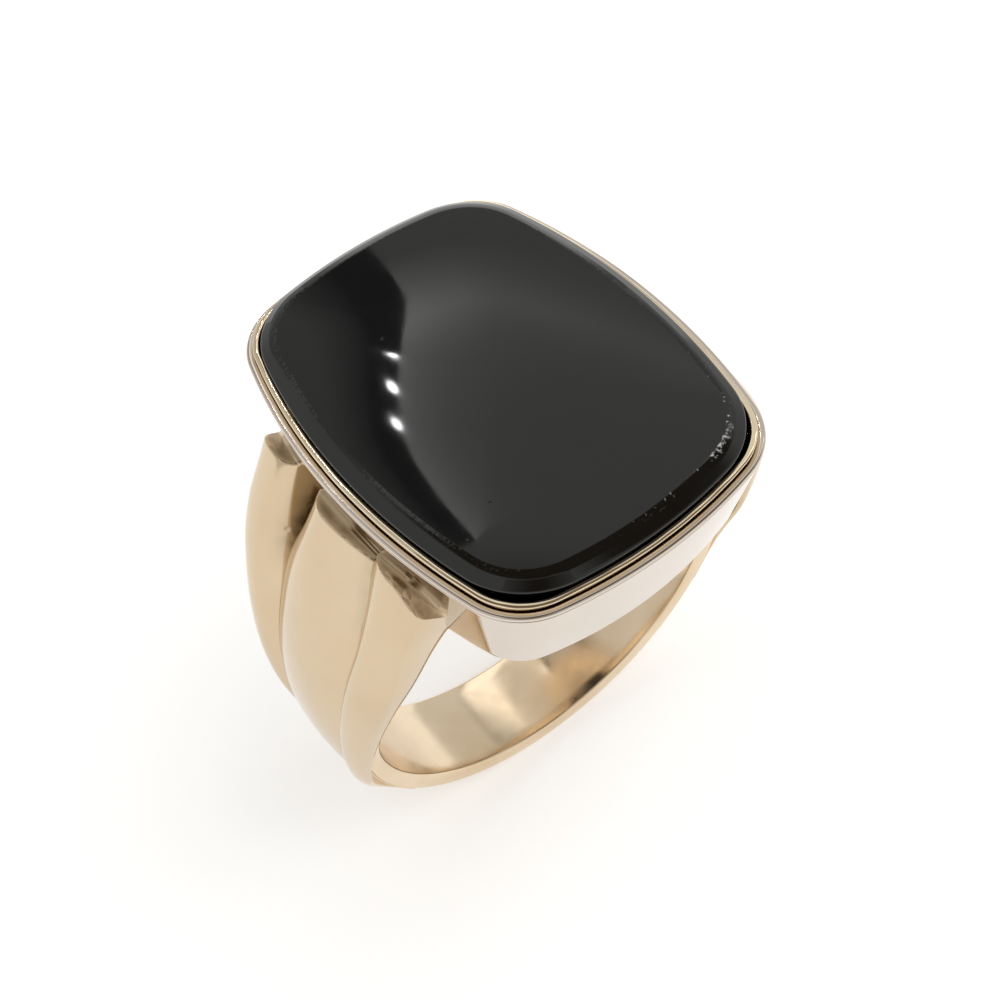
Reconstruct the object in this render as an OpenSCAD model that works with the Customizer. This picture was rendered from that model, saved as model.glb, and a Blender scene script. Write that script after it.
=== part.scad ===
// Signet ring with an open-backed cushion head, a domed black stone and fluted shoulders.
// Origin: centre of the finger hole. +Y runs along the finger, +Z up through the middle of the stone,
// X from shoulder to shoulder. Millimetres.

/* [Finger] */
// Inside diameter of the ring
finger_d = 19; // [18:0.1:20]
// Width of the band under the finger
band_w = 4.5; // [4:0.1:5.5]
// Thickness of the band under the finger
band_t = 0.95; // [0.8:0.05:1.2]
// How much the band gains on each edge towards the head
band_flare = 1.3; // [1.1:0.05:1.4]

/* [Head] */
// Width of the head across the shoulders, at its rim
head_w = 14.52; // [13.8:0.02:15]
// Length of the head along the finger, at its rim
head_l = 19; // [18:0.02:19.6]
// Height of the head, from its bottom edge to its rim
head_h = 4.64; // [4.4:0.02:5]
// How far the wall leans in on its long sides, from the rim to the bottom
lean_side = 0.48; // [0.3:0.02:0.8]
// How far the wall leans in on its short ends
lean_end = 1.02; // [0.6:0.02:1.2]
// How far a long side bows out beyond its corners
side_bow = 1.41; // [1.2:0.01:1.6]
// How far a short end bows out beyond its corners
end_bow = 0.94; // [0.7:0.01:1.1]
// Corner radius of the rim
corner_r = 2.95; // [2.7:0.05:3.2]
// Thickness of the outer wall
wall_t = 0.35; // [0.3:0.01:0.4]
// Thickness of the lip that is rubbed over the stone
lip_t = 0.25; // [0.2:0.01:0.3]

/* [Stone] */
// Height of the stone's edge above the lip
stone_rise = 0.28; // [0.15:0.01:0.4]
// Width of the bevel around the table
bevel_w = 0.6; // [0.5:0.05:1]
// Height of the bevel
bevel_h = 0.26; // [0.15:0.01:0.35]
// Height of the domed table above its own edge
dome_h = 0.32; // [0.2:0.02:0.5]

/* [Shoulders] */
// Height of the outer wires over the band, beside the head
shoulder_h = 4.5; // [4.2:0.1:4.8]
// How much higher the middle wire stands than the outer ones
middle_rise = 0.07; // [0.02:0.01:0.1]
// Half-width of a shoulder beside the head
shoulder_w = 5.8; // [5.6:0.05:5.9]
// Height of the valleys between the wires, as a share of the outer wires' height
valley_share = 0.66; // [0.6:0.01:0.72]

/* [Hidden] */

GOLD = [0.87, 0.74, 0.57];
ONYX = [0.05, 0.05, 0.055];

// Room left between soldered pieces, so that no two solids overlap
joint_gap = 0.01;

// Finger band: its outside is a circle set a little below the finger's centre, so the band is
// thinnest where the shoulders cover it.
finger_r = finger_d / 2;
band_drop = 0.15;
band_outer_r = finger_r + band_t - band_drop;
flare_angle = 79;   // angle from the top at which the flare is half done
flare_spread = 8;

// Heights of the head
head_bottom = finger_r + 0.05;
lip_z = head_bottom + head_h;
rim_z = lip_z - 0.21;          // top of the wall's rounded edge
bead_h = 0.24;                 // height and depth of that rounded edge
plate_top = head_bottom + 0.6;
seat_bottom = head_bottom + 1.15;
seat_top = head_bottom + 1.65;
stone_bottom = seat_top + joint_gap;
window_w = 7.0;                // open back, across the shoulders
window_l = 11.2;               // open back, along the finger
seat_inset = 1.35;             // from the wall's outside to the seat's inner edge
stone_corner_extra = 0.95;     // the stone's corners are rounder than the setting's

// Points on each quarter of a cushion outline: long side, corner, short end
SIDE_N = 8;
CORNER_N = 6;
END_N = 6;

// Shoulders
ridge_start = 31;              // angle from the top at which shoulder_h is measured
ridge_decay = 34.5;
ridge_span = 110;              // degrees from ridge_start to where the wires run out
rib_end = 125;
width_slope = 0.0435;          // half-width lost per degree
// Rounded ends against the wall: length along the wire and depth
MIDDLE_END = [0.45, 0.8];
OUTER_END = [1.1, 1.5];
STATIONS = concat([19, 22, 24], [for (a = [26 : 1 : 35]) a], [for (a = [37 : 3 : 61]) a],
                  [for (a = [65 : 4 : 121]) a], [rib_end]);

// ---------------------------------------------------------------- helpers

function smooth(t) = let (u = min(max(t, 0), 1)) u * u * (3 - 2 * u);

function reversed(list) = [for (i = [len(list) - 1 : -1 : 0]) list[i]];

// Skin a stack of rings with equal point counts. Each ring runs anticlockwise about the
// stack's direction. A closed stack joins its last ring to its first.
module skin(rings, closed = false) {
    n = len(rings[0]);
    k = len(rings);
    steps = closed ? k : k - 1;
    walls = [for (i = [0 : steps - 1], j = [0 : n - 1], half = [0, 1])
        let (a = i * n, b = ((i + 1) % k) * n, j2 = (j + 1) % n)
        half == 0 ? [a + j, b + j, b + j2] : [a + j, b + j2, a + j2]];
    caps = closed ? [] : [[for (j = [0 : n - 1]) j], [for (j = [n - 1 : -1 : 0]) (k - 1) * n + j]];
    polyhedron(points = [for (r = rings, p = r) p], faces = concat(walls, caps), convexity = 8);
}

// Outline of a cushion, anticlockwise: bowed long sides at x = +-a, bowed short ends at y = +-c,
// round corners of radius rc. An inset shrinks every arc about its own centre.
function cushion(a, c, bow_a, bow_c, rc, inset = 0) =
    let (half_c = c - bow_c,
         half_a = a - bow_a,
         ra = (half_c * half_c + bow_a * bow_a) / (2 * bow_a),
         rb = (half_a * half_a + bow_c * bow_c) / (2 * bow_c),
         ax = a - ra,
         by = c - rb,
         d = norm([ax, by]),
         along = (pow(ra - rc, 2) - pow(rb - rc, 2) + d * d) / (2 * d),
         across = sqrt(pow(ra - rc, 2) - along * along),
         ex = -ax / d,
         ey = by / d,
         // Of the two places where the shrunk arcs cross, this is the one beyond both centres.
         p = [ax + ex * along + ey * across, ey * along - ex * across],
         q = [ax + ex * along - ey * across, ey * along + ex * across],
         corner = p[0] + p[1] > q[0] + q[1] ? p : q,
         t1 = atan2(corner[1], corner[0] - ax),
         t2 = atan2(corner[1] - by, corner[0]),
         quarter = concat(
             [for (i = [0 : SIDE_N]) let (t = t1 * i / SIDE_N)
                 [ax + (ra - inset) * cos(t), (ra - inset) * sin(t)]],
             [for (i = [1 : CORNER_N]) let (t = t1 + (t2 - t1) * i / CORNER_N)
                 corner + (rc - inset) * [cos(t), sin(t)]],
             [for (i = [1 : END_N]) let (t = t2 + (90 - t2) * i / END_N)
                 [(rb - inset) * cos(t), by + (rb - inset) * sin(t)]]),
         last = len(quarter) - 1)
    concat(quarter,
           [for (i = [last - 1 : -1 : 0]) [-quarter[i][0], quarter[i][1]]],
           [for (i = [1 : last]) [-quarter[i][0], -quarter[i][1]]],
           [for (i = [last - 1 : -1 : 1]) [quarter[i][0], -quarter[i][1]]]);

function raised(outline, z) = [for (p = outline) [p[0], p[1], z]];

// ---------------------------------------------------------------- head

// How far down the wall a height lies: 0 at the rim, 1 at the bottom edge
function depth(z) = (rim_z - z) / (rim_z - head_bottom);
function head_a(z) = head_w / 2 - lean_side * depth(z);
function head_c(z) = head_l / 2 - lean_end * depth(z);
function head_corner(z) = corner_r - 0.85 * depth(z);

// Outline of the tapered head at one height, inset from its outside
function head_ring(inset, z, extra_corner = 0) =
    raised(cushion(head_a(z), head_c(z), side_bow, end_bow, head_corner(z) + extra_corner, inset), z);

// Where the outside of the long wall lies, at a distance y along the finger
function wall_x(y, z) =
    let (half_c = head_c(z) - end_bow,
         ra = (half_c * half_c + side_bow * side_bow) / (2 * side_bow))
    head_a(z) - ra + sqrt(ra * ra - y * y);

module bezel_wall() {
    bead = [for (t = [0 : 30 : 90]) [bead_h * (1 - cos(t)), rim_z - bead_h + bead_h * sin(t)]];
    color(GOLD) skin(concat(
        [head_ring(0, head_bottom)],
        [for (b = bead) head_ring(b[0], b[1])],
        [head_ring(wall_t, rim_z - 0.08),
         head_ring(wall_t, head_bottom)]), closed = true);
}

// The lip's top leans in and is rounded on its outer edge.
module bezel_lip() {
    outer = wall_t + joint_gap;
    inner = wall_t + lip_t;
    color(GOLD) skin([
        head_ring(outer, stone_bottom),
        head_ring(outer, lip_z - 0.12),
        head_ring(outer + 0.05, lip_z - 0.02),
        head_ring(inner - 0.06, lip_z),
        head_ring(inner + 0.02, lip_z - 0.05),
        head_ring(inner, stone_bottom)], closed = true);
}

module stone_seat() {
    outer = wall_t + joint_gap;
    color(GOLD) skin([
        head_ring(outer, seat_bottom),
        head_ring(outer, seat_top),
        head_ring(seat_inset, seat_top),
        head_ring(seat_inset, seat_bottom)], closed = true);
}

module base_plate() {
    outer = wall_t + joint_gap;
    opening = cushion(window_w / 2, window_l / 2, side_bow / 2, end_bow / 2, corner_r / 2);
    color(GOLD) skin([
        head_ring(outer, head_bottom),
        head_ring(outer, plate_top),
        raised(opening, plate_top),
        raised(opening, head_bottom)], closed = true);
}

module onyx_stone() {
    fit = wall_t + lip_t + 0.04;
    edge_z = lip_z + stone_rise;
    table_z = edge_z + bevel_h;
    rim = cushion(head_w / 2, head_l / 2, side_bow, end_bow, corner_r + stone_corner_extra, fit + bevel_w);
    color(ONYX) skin(concat(
        [head_ring(fit + 0.3, stone_bottom, stone_corner_extra),
         head_ring(fit, stone_bottom + 0.3, stone_corner_extra),
         head_ring(fit, edge_z - 0.15, stone_corner_extra),
         head_ring(fit + 0.04, edge_z - 0.05, stone_corner_extra),
         head_ring(fit + 0.14, edge_z + 0.03, stone_corner_extra),
         head_ring(fit + bevel_w - 0.15, table_z - 0.03, stone_corner_extra)],
        [for (s = [1 : -0.15 : 0.1]) raised(s * rim, table_z + dome_h * (1 - s * s))]));
}

// ---------------------------------------------------------------- band

// Half-width of the band at an angle from the top
function band_half(angle) = band_w / 2 + band_flare / (1 + exp((angle - flare_angle) / flare_spread));

// Distance from the finger's centre to the band's outside, at an angle from the top
function band_r(angle) =
    -band_drop * cos(angle) + sqrt(pow(band_outer_r, 2) - pow(band_drop * sin(angle), 2));

module finger_band() {
    reach = 14;
    // Half of the band's outline seen from the side, from under the head to under the finger
    edge = [for (t = [20 : 4 : 180]) [band_half(t), finger_r * cos(t)]];
    outline = concat([[band_half(20), reach]], edge, [[band_w / 2, -reach]]);
    color(GOLD) difference() {
        intersection() {
            translate([0, 0, -band_drop]) rotate([90, 0, 0])
                cylinder(r = band_outer_r, h = 2 * reach, center = true, $fn = 180);
            rotate([90, 0, 90]) linear_extrude(height = 2 * reach, center = true)
                polygon(concat(outline, [for (p = reversed(outline)) [-p[0], p[1]]]));
            // The two ends butt against the bottom of the head.
            translate([-reach, -reach, -reach])
                cube([2 * reach, 2 * reach, reach + head_bottom - joint_gap]);
        }
        rotate([90, 0, 0]) cylinder(r = finger_r, h = 2 * reach, center = true, $fn = 180);
        // Open back, between the two ends
        translate([-window_w / 2, -reach, 0]) cube([window_w, 2 * reach, reach]);
    }
}

// ---------------------------------------------------------------- shoulders

// Half-width of a shoulder: a straight taper that eases into the band's own width
function shoulder_half(angle) =
    let (ramp = shoulder_w - band_w / 2 - width_slope * (angle - 28),
         ease = 0.6)
    band_w / 2 + (ramp + sqrt(ramp * ramp + ease * ease)) / 2;

// Height of the outer wires' ridge over the band. It halves about every 24 degrees.
function ridge_h(angle) =
    let (t = angle - ridge_start)
    max(shoulder_h * exp(-t / ridge_decay) * (1 - pow(t / ridge_span, 3)), 0);

function valley_h(angle) = ridge_h(angle) * (valley_share + (1 - valley_share) * smooth((angle - 75) / 60));

function valley_y(angle) =
    shoulder_half(angle) * (0.5 + 0.2 * smooth((angle - 45) / 60) - 0.003 * max(45 - angle, 0));

// How far a wire's rounded end dips as it comes to the wall: a quarter ellipse
function end_dip(away, length, dip) =
    let (t = 1 - min(max(away / length, 0), 1))
    dip * (1 - sqrt(1 - t * t));

// A point at height h over the band, dipped near the wall; end is a rounded end's length and depth
function rib_point(angle, y, h, end) =
    let (r = band_r(angle) + h,
         away = r * sin(angle) - wall_x(y, min(r * cos(angle), rim_z)),
         dipped = r - min(end_dip(away, end[0], end[1]), h * 0.55))
    [dipped * sin(angle), y, dipped * cos(angle)];

function foot(angle, y) = let (r = band_r(angle) + joint_gap) [r * sin(angle), y, r * cos(angle)];

// Middle wire: a parabola between the two valleys, on the band
function middle_section(angle) =
    let (half = valley_y(angle) - joint_gap,
         low = valley_h(angle),
         high = ridge_h(angle) * (1 + middle_rise))
    concat([for (i = [-6 : 6]) let (u = i / 6)
                rib_point(angle, half * u, low + (high - low) * (1 - u * u), MIDDLE_END)],
           [foot(angle, half), foot(angle, -half)]);

// Outer wire: up a parabola from the valley, over the ridge, down a quarter ellipse to its widest,
// then in under itself to the edge of the band
function outer_section(angle) =
    let (inside = valley_y(angle) + joint_gap,
         outside = shoulder_half(angle),
         crest = inside + 0.47 * (outside - inside),
         low = valley_h(angle),
         high = ridge_h(angle),
         flank = low * min(max(1 - (angle - 52) / 50, 0.4), 1.25))
    concat([for (i = [0 : 4]) let (u = 1 - i / 5)
                rib_point(angle, crest - (crest - inside) * u,
                          low + (high - low) * (1 - u * u), OUTER_END)],
           [for (t = [0 : 15 : 90])
                rib_point(angle, crest + (outside - crest) * sin(t),
                          flank + (high - flank) * cos(t), OUTER_END)],
           [foot(angle, band_half(angle) - 0.02), foot(angle, inside)]);

// The head, a little oversize, as it is cut out of the shoulders
module head_space() {
    skin([head_ring(-joint_gap, head_bottom - joint_gap),
          head_ring(-joint_gap, rim_z),
          raised(cushion(head_w / 2, head_l / 2, side_bow, end_bow, corner_r, -joint_gap), 2 * rim_z)]);
}

module middle_rib() {
    difference() {
        skin([for (angle = STATIONS) reversed(middle_section(angle))]);
        head_space();
    }
}

module outer_rib() {
    difference() {
        skin([for (angle = STATIONS) reversed(outer_section(angle))]);
        head_space();
    }
}

module right_rib_front() { color(GOLD) mirror([0, 1, 0]) outer_rib(); }
module right_rib_middle() { color(GOLD) middle_rib(); }
module right_rib_back() { color(GOLD) outer_rib(); }
module left_rib_front() { color(GOLD) mirror([1, 0, 0]) mirror([0, 1, 0]) outer_rib(); }
module left_rib_middle() { color(GOLD) mirror([1, 0, 0]) middle_rib(); }
module left_rib_back() { color(GOLD) mirror([1, 0, 0]) outer_rib(); }

onyx_stone();
bezel_wall();
bezel_lip();
stone_seat();
base_plate();
finger_band();
left_rib_front();
left_rib_middle();
left_rib_back();
right_rib_front();
right_rib_middle();
right_rib_back();
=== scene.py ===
# %% [markdown]
# # A signet ring with a black stone
#
# The ring is polished gold: a tall open-backed head holds a black onyx under a rubbed-over lip, and on
# each side three soldered wires fan out of a narrow band like a fluted shoulder. The solid part behind
# this scene already fixes every size, so the scene adds what a solid leaves out: soft edges, hollows
# that run out smoothly, the small faults of handwork, and finishes. Lengths are written in millimetres
# and turned to metres at the last moment. +Y runs along the finger and +Z up through the stone.

import bpy
import numpy as np
from mathutils import Matrix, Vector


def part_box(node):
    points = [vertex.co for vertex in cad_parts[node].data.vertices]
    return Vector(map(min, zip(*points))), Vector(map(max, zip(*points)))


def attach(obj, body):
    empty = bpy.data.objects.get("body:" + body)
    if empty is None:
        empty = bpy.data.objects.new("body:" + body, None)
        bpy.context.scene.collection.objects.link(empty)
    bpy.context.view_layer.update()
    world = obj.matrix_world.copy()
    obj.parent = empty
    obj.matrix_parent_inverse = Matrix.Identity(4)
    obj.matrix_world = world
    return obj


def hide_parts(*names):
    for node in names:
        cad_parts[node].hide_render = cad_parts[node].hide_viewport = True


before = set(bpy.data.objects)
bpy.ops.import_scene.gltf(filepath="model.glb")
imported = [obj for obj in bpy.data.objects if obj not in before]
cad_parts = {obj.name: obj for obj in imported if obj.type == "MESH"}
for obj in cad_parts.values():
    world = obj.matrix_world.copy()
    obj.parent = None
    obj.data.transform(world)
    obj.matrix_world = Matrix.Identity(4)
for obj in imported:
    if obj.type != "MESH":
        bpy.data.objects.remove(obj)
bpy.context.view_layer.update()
MM = 0.001
print("the frame holds", len(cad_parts), "nodes")


# %% [markdown]
# ## Sizes
# A ring has few driving sizes: the finger hole, the band, the outline of the head and the height of the
# wires. Where a size can be measured on the frame it is read from there, so the looks cannot drift away
# from the solid they cover.

# %% Measure the frame
def low_high(node):
    """The lowest and highest corner of a node of the frame, in millimetres."""
    low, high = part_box(node)
    return np.array(low) / MM, np.array(high) / MM


wall_low, wall_high = low_high("bezel_wall")
stone_low, stone_high = low_high("onyx_stone")
lip_high = low_high("bezel_lip")[1]
band_low = low_high("finger_band")[0]

HEAD_HALF_W = wall_high[0]
HEAD_HALF_L = wall_high[1]
HEAD_BOTTOM = wall_low[2]
RIM_Z = wall_high[2]
LIP_Z = lip_high[2]
FINGER_R = 9.5
BAND_DROP = 0.15
BAND_OUTER_R = -band_low[2] - BAND_DROP
BAND_HALF = 2.25
BAND_FLARE = 1.3
LEAN_SIDE = 0.48
LEAN_END = 1.02
SIDE_BOW = 1.41
END_BOW = 0.94
CORNER_R = 2.95
CORNER_LEAN = 0.85
WALL_T = 0.35
LIP_T = 0.25
print("head", 2 * HEAD_HALF_W, "by", 2 * HEAD_HALF_L, "mm, rim at", RIM_Z, "mm")


# %% [markdown]
# ## From rings of points to a closed mesh
# Nearly every piece here is a stack of rings: the same outline again and again, a little wider, higher
# or further along. Numbering the points row by row makes the faces a matter of arithmetic, so a whole
# grid of quads is built at once. Where a stack ends, the last ring is drawn to a point in its middle,
# which closes the skin. The signed volume then says whether the faces look outwards.

# %% Build a mesh from a stack of rings
def stack_mesh(name, rings, joined_ends=False):
    """A closed mesh from an array of rings, shaped (rings, points, 3), in millimetres. Point j of ring i
    is joined to its neighbours in the ring and to point j of the next ring. The two ends are closed by
    a fan to the mean of the end ring, or to each other if joined_ends is set."""
    count, points = rings.shape[:2]
    i = np.arange(count if joined_ends else count - 1)[:, None]
    j = np.arange(points)[None, :]
    across = (j + 1) % points
    below = (i + 1) % count
    quads = np.stack([i * points + j, i * points + across, below * points + across, below * points + j], -1)
    quads = quads.reshape(-1, 4)
    fans = np.zeros((0, 3), int)
    places = rings.reshape(-1, 3)
    if not joined_ends:
        first = np.arange(points)
        after = (first + 1) % points
        last = (count - 1) * points
        start_fan = np.stack([after, first, np.full(points, count * points)], -1)
        end_fan = np.stack([last + first, last + after, np.full(points, count * points + 1)], -1)
        fans = np.concatenate([start_fan, end_fan])
        places = np.concatenate([places, rings[:1].mean(1), rings[-1:].mean(1)])
    triangles = np.concatenate([quads[:, :3], quads[:, [0, 2, 3]], fans])
    a, b, c = places[triangles].transpose(1, 0, 2)
    if np.einsum("ij,ij->i", a, np.cross(b, c)).sum() < 0:
        quads, fans = quads[:, ::-1], fans[:, ::-1]
    mesh = bpy.data.meshes.new(name)
    mesh.from_pydata((places * MM).tolist(), [], quads.tolist() + fans.tolist())
    mesh.update()
    mesh.polygons.foreach_set("use_smooth", np.ones(len(mesh.polygons), bool))
    piece = bpy.data.objects.new(name, mesh)
    bpy.context.collection.objects.link(piece)
    return piece


def crisp(piece, degrees):
    """Edges that turn by more than this many degrees are shaded as real edges."""
    piece.data.set_sharp_from_angle(angle=np.radians(degrees))
    return piece


def belongs(piece, node):
    """The piece stands for one node of the frame, whose solid it hides, and rides on the ring's only body.
    """
    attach(piece, "root")
    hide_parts(node)
    print(piece.name, "has", len(piece.data.polygons), "faces")
    return piece


# %% [markdown]
# ## The cushion outline
# Seen from above the head is a cushion: two long sides and two short ends, each a slightly bowed arc,
# and four round corners. All three kinds of arc share their tangents where they meet, so the polished
# wall has no kink in its reflections. An inset shrinks each arc about its own centre, which keeps walls
# and lips equally thick all the way round.

# %% Draw cushion outlines
SIDE_N, CORNER_N, END_N = 30, 26, 26


def cushion(half_w, half_l, corner, inset=0.0, side_bow=SIDE_BOW, end_bow=END_BOW):
    """Cushion outlines, one for each row of the first four arguments, shaped (rows, points, 2). Each
    quarter is a circle arc for the long side, one for the corner and one for the short end. A bow is
    how far such an arc stands out in its middle. The corner's centre is where circles of radius
    (side radius - corner) and (end radius - corner) cross."""
    half_w, half_l, corner, inset = np.broadcast_arrays(*(np.atleast_1d(v).astype(float)[:, None]
                                                          for v in (half_w, half_l, corner, inset)))
    side_r = ((half_l - end_bow) ** 2 + side_bow ** 2) / (2 * side_bow)
    end_r = ((half_w - side_bow) ** 2 + end_bow ** 2) / (2 * end_bow)
    side_x = half_w - side_r
    end_y = half_l - end_r
    gap = np.hypot(side_x, end_y)
    along = ((side_r - corner) ** 2 - (end_r - corner) ** 2 + gap ** 2) / (2 * gap)
    across = np.sqrt((side_r - corner) ** 2 - along ** 2)
    ex, ey = -side_x / gap, end_y / gap
    px, py = side_x + ex * along + ey * across, ey * along - ex * across
    qx, qy = side_x + ex * along - ey * across, ey * along + ex * across
    outer = px + py > qx + qy
    cx, cy = np.where(outer, px, qx), np.where(outer, py, qy)
    turn_1 = np.arctan2(cy, cx - side_x)
    turn_2 = np.arctan2(cy - end_y, cx)
    side = turn_1 * np.linspace(0, 1, SIDE_N + 1)
    bend = turn_1 + (turn_2 - turn_1) * np.linspace(0, 1, CORNER_N + 1)[1:]
    end = turn_2 + (np.pi / 2 - turn_2) * np.linspace(0, 1, END_N + 1)[1:]
    x = np.concatenate([side_x + (side_r - inset) * np.cos(side), cx + (corner - inset) * np.cos(bend),
                        (end_r - inset) * np.cos(end)], 1)
    y = np.concatenate([(side_r - inset) * np.sin(side), cy + (corner - inset) * np.sin(bend),
                        end_y + (end_r - inset) * np.sin(end)], 1)
    x = np.concatenate([x, -x[:, -2::-1], -x[:, 1:], x[:, -2:0:-1]], 1)
    y = np.concatenate([y, y[:, -2::-1], -y[:, 1:], -y[:, -2:0:-1]], 1)
    return np.stack([x, y], -1)


def head_rings(profile, extra_corner=0.0):
    """Rings of the tapered head. The profile is rows of (inset, height). The head leans in evenly from
    its rim to its bottom edge."""
    inset, z = np.array(profile, float).T
    down = (RIM_Z - z) / (RIM_Z - HEAD_BOTTOM)
    flat = cushion(HEAD_HALF_W - LEAN_SIDE * down, HEAD_HALF_L - LEAN_END * down,
                   CORNER_R - CORNER_LEAN * down + extra_corner, inset)
    return np.concatenate([flat, np.broadcast_to(z[:, None, None], flat.shape[:2] + (1,))], -1)


print("a cushion outline has", cushion(HEAD_HALF_W, HEAD_HALF_L, CORNER_R).shape[1], "points")


# %% [markdown]
# ## The wall of the head
# The wall is a strip of sheet bent to the cushion and soldered shut. Its top edge was rounded with a
# burnisher into a soft bead with a scratch of a groove below it, and its bottom edge is broken just
# enough not to cut. Drawing that section once and carrying it round the outline keeps the bead even.

# %% Make the wall
def arc(centre, radius, start, stop, count):
    """Points on a circle arc of the profile, from one angle to another in degrees."""
    t = np.radians(np.linspace(start, stop, count))
    return np.stack([centre[0] + radius * np.cos(t), centre[1] + radius * np.sin(t)], -1)


BEAD_R = 0.13
GROOVE_R = 0.045
EDGE_R = 0.05
wall_profile = np.concatenate([
    arc((EDGE_R, HEAD_BOTTOM + EDGE_R), EDGE_R, 270, 180, 5),
    [[0.0, z] for z in np.linspace(HEAD_BOTTOM + 0.2, RIM_Z - 0.40, 12)],
    arc((GROOVE_R, RIM_Z - 0.31), GROOVE_R, 180, 100, 4),
    arc((BEAD_R + 0.01, RIM_Z - BEAD_R - 0.05), BEAD_R, 200, 75, 12),
    [[WALL_T - 0.08, RIM_Z - 0.06], [WALL_T - 0.02, RIM_Z - 0.12]],
    [[WALL_T, RIM_Z - 0.2], [WALL_T, HEAD_BOTTOM + EDGE_R]],
    arc((WALL_T - EDGE_R, HEAD_BOTTOM + EDGE_R), EDGE_R, 360, 270, 4)])
wall = crisp(stack_mesh("bezel_wall_polished", head_rings(wall_profile), joined_ends=True), 50)
print("the wall's section has", len(wall_profile), "points")


# %% [markdown]
# ## The lip over the stone
# A thin strip inside the wall was pushed over the stone's edge bit by bit. The tool leaves a bright line
# that is never quite even, so the lip's top wanders by a few hundredths of a millimetre as it goes
# round. A sum of a few sine waves with unrelated lengths gives that wander without a visible repeat.

# %% Make the lip
def wander(count, waves, seed):
    """A closed, smooth, irregular curve of the given number of samples: sines with whole numbers of
    turns, random phases and falling heights, scaled to lie roughly between -1 and 1."""
    rng = np.random.default_rng(seed)
    t = np.linspace(0, 2 * np.pi, count, endpoint=False)
    turns = np.array(waves)[:, None]
    phase = rng.uniform(0, 2 * np.pi, len(waves))[:, None]
    height = rng.uniform(0.4, 1.0, len(waves))[:, None]
    return (height * np.sin(turns * t + phase)).sum(0) / height.sum()


LIP_DIP = 0.03
LIP_DRIFT = 0.0022
inner = WALL_T + LIP_T
lip_profile = np.concatenate([
    [[WALL_T + 0.01, stone_low[2] + 0.1], [WALL_T + 0.01, LIP_Z - 0.16]],
    arc((WALL_T + 0.08, LIP_Z - 0.09), 0.07, 180, 95, 6),
    [[WALL_T + 0.13, LIP_Z - 0.012]],
    arc((inner - 0.05, LIP_Z - 0.075), 0.065, 75, 0, 5),
    [[inner, LIP_Z - 0.16], [inner, stone_low[2] + 0.1]]])
lip_rings = head_rings(lip_profile)
top = np.clip((lip_rings[..., 2] - (LIP_Z - 0.2)) / 0.2, 0, 1)
lip_points = lip_rings.shape[1]
lip_rings[..., 2] -= LIP_DIP * top * (0.5 + 0.5 * wander(lip_points, [5, 9, 14, 23, 31, 44], 4))
lip_rings[..., :2] *= 1 + LIP_DRIFT * (top * wander(lip_points, [7, 12, 19, 29, 41, 53], 9))[..., None]
lip = crisp(stack_mesh("bezel_lip_rubbed", lip_rings, joined_ends=True), 60)
print("the lip's top wanders by up to", LIP_DIP, "mm")


# %% [markdown]
# ## The stone
# Onyx for a signet is cut as a low cushion: an upright girdle that the lip holds, a narrow bevel and a
# table that is domed by a few tenths of a millimetre. The dome is what bends the reflections, so it is
# a smooth formula rather than a few facets. The bevel's upper edge carries tiny pale chips, so each
# point also stores a mask for that edge, for the finish to use. The pale chips also paint the edge's
# sparkling line as a painted highlight, so one corner carries far more of them than the rest.

# %% Make the stone
STONE_CORNER = 0.95
STONE_RISE = 0.28
BEVEL_W = 0.6
BEVEL_H = 0.26
DOME_H = 0.316
fit = WALL_T + LIP_T + 0.04
edge_z = LIP_Z + STONE_RISE
table_z = edge_z + BEVEL_H

girdle = np.concatenate([
    [[fit + 0.3, stone_low[2]], [fit, stone_low[2] + 0.3]],
    [[fit, z] for z in np.linspace(stone_low[2] + 0.6, edge_z - 0.14, 6)],
    arc((fit + 0.13, edge_z - 0.13), 0.13, 172, 122, 6)])
shelf_from = girdle[-1]
bevel = shelf_from + np.linspace(0, 1, 8)[1:-1, None] * (
    np.array([fit + BEVEL_W - 0.08, table_z - 0.02]) - shelf_from)
stone_sides = head_rings(np.concatenate([girdle, bevel]), STONE_CORNER)
table_edge = cushion(HEAD_HALF_W, HEAD_HALF_L, CORNER_R + STONE_CORNER, fit + BEVEL_W)[0]
shrink = np.concatenate([[1.0, 0.995, 0.985], np.linspace(0.965, 0.06, 34)])
table = np.concatenate([table_edge * shrink[:, None, None],
                        np.broadcast_to((table_z + DOME_H * (1 - shrink ** 2))[:, None, None],
                                        (len(shrink), table_edge.shape[0], 1))], -1)
stone = crisp(stack_mesh("onyx_stone_domed", np.concatenate([stone_sides, table])), 60)
arris = np.zeros(len(stone.data.vertices), np.float32)
row = stone_sides.shape[1]
edge_rows = len(stone_sides)
# Painted highlight: the edge mask is strongest at one corner, where the pale chips draw a bright line
chip_and_glint_end = np.clip(-table_edge[:, 1] / 3 - 1.2, 0, 1) * np.clip((table_edge[:, 0] + 1.0) / 2.5, 0, 1)
arris[edge_rows * row:(edge_rows + 1) * row] = 0.06 + 0.94 * chip_and_glint_end
stone.data.attributes.new("arris", "FLOAT", "POINT").data.foreach_set("value", arris)
print("stone top at", table[-1, 0, 2], "mm, frame stone top at", stone_high[2], "mm")


# %% [markdown]
# ## The seat and the base plate
# Inside the wall two thin frames hold the stone from below. They show only through the open back, but
# from underneath they are the first thing seen, so their edges are softened like the rest.

# %% Make the seat and the base plate
def frame_section(outside, inside, low, high, soft=0.05):
    """A rectangular section with rounded corners, as rows of (inset, height)."""
    return np.concatenate([arc((outside + soft, low + soft), soft, 270, 180, 4),
                           arc((outside + soft, high - soft), soft, 180, 90, 4),
                           arc((inside - soft, high - soft), soft, 90, 0, 4),
                           arc((inside - soft, low + soft), soft, 0, -90, 4)])


seat_low, seat_high = low_high("stone_seat")
SEAT_INSET = 1.35
seat = crisp(stack_mesh("stone_seat_frame", head_rings(
    frame_section(WALL_T + 0.01, SEAT_INSET, seat_low[2], seat_high[2])), joined_ends=True), 50)

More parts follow.
